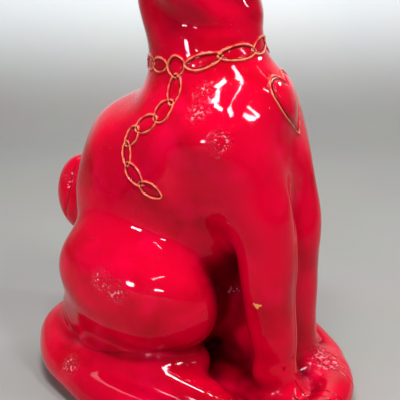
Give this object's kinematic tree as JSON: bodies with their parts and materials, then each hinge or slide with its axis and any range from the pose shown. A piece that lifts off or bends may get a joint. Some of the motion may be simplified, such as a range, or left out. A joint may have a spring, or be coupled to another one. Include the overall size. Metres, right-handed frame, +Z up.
{
  "type": "pottery cat figure",
  "caption": "Seated pottery cat in glossy red glaze, with a clay chain collar, a heart on the chest and its tail laid round its feet.",
  "frame": {"origin": "centre of the figure's footprint, on the surface it stands on", "axes": "+X the way the cat looks, +Y to its left, +Z up"},
  "size_m": [0.2654, 0.1958, 0.3916],
  "materials": {
    "red_glaze": "glossy crimson glaze, thin and orange on the raised coils"
  },
  "bodies": {
    "root": {"cat_figure": "red_glaze"}
  },
  "joints": []
}
